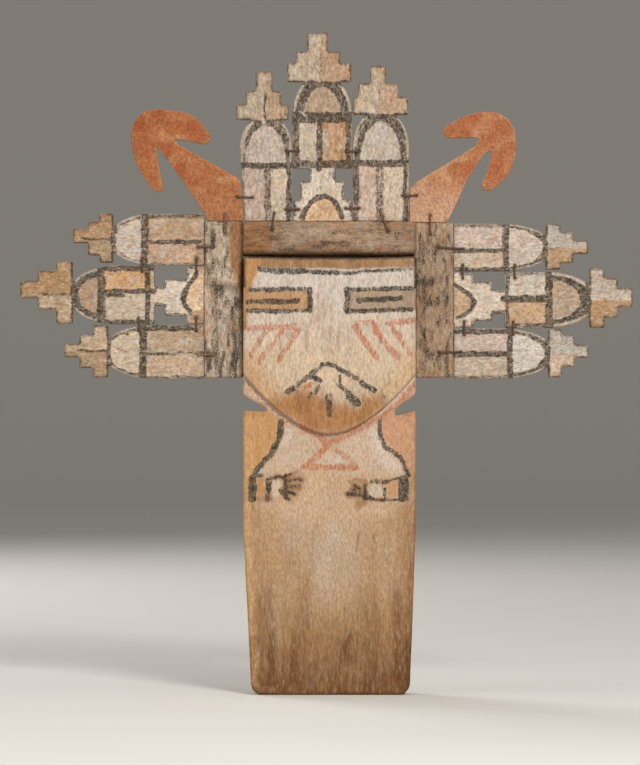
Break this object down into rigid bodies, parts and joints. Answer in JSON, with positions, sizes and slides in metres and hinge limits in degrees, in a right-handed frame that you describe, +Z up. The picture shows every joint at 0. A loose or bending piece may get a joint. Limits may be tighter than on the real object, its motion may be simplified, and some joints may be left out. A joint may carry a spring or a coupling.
{
  "type": "kachina doll",
  "caption": "Flat carved doll with a raised face, on a slab foot, under a tablita of domed towers with stepped clouds and anchor-shaped horns laced to a frame.",
  "frame": {"origin": "middle of the underside of the foot, at half the slab's thickness", "axes": "+Z up the doll; the face looks along -Y; +X is the viewer's right, which is the doll's left"},
  "size_m": [0.3507, 0.028, 0.3788],
  "materials": {
    "bare_cottonwood": "bare wood with a worn kaolin wash, matte",
    "whitewashed_cottonwood": "worn kaolin wash with mineral paint, matte",
    "weathered_cottonwood": "weathered, with traces of dark paint, matte",
    "ochre_painted_cottonwood": "thin red ochre wash, matte",
    "rawhide": "dried thong"
  },
  "bodies": {
    "root": {"crosspiece": "weathered_cottonwood", "doll_body": "bare_cottonwood", "horn_left": "ochre_painted_cottonwood", "horn_right": "ochre_painted_cottonwood", "post_left": "weathered_cottonwood", "post_right": "weathered_cottonwood", "tie_crosspiece_left": "rawhide", "tie_crosspiece_right": "rawhide", "tie_horn_left_foot": "rawhide", "tie_horn_left_side": "rawhide", "tie_horn_right_foot": "rawhide", "tie_horn_right_side": "rawhide", "tie_left_lower_high": "rawhide", "tie_left_lower_low": "rawhide", "tie_left_post_lower": "rawhide", "tie_left_post_upper": "rawhide", "tie_left_upper_high": "rawhide", "tie_left_upper_low": "rawhide", "tie_right_lower_high": "rawhide", "tie_right_lower_low": "rawhide", "tie_right_post_lower": "rawhide", "tie_right_post_upper": "rawhide", "tie_right_upper_high": "rawhide", "tie_right_upper_low": "rawhide", "tie_top_left_high": "rawhide", "tie_top_left_low": "rawhide", "tie_top_right_high": "rawhide", "tie_top_right_low": "rawhide", "tower_left_center": "whitewashed_cottonwood", "tower_left_lower": "whitewashed_cottonwood", "tower_left_upper": "whitewashed_cottonwood", "tower_right_center": "whitewashed_cottonwood", "tower_right_lower": "whitewashed_cottonwood", "tower_right_upper": "whitewashed_cottonwood", "tower_top_center": "whitewashed_cottonwood", "tower_top_left": "whitewashed_cottonwood", "tower_top_right": "whitewashed_cottonwood"}
  },
  "joints": []
}
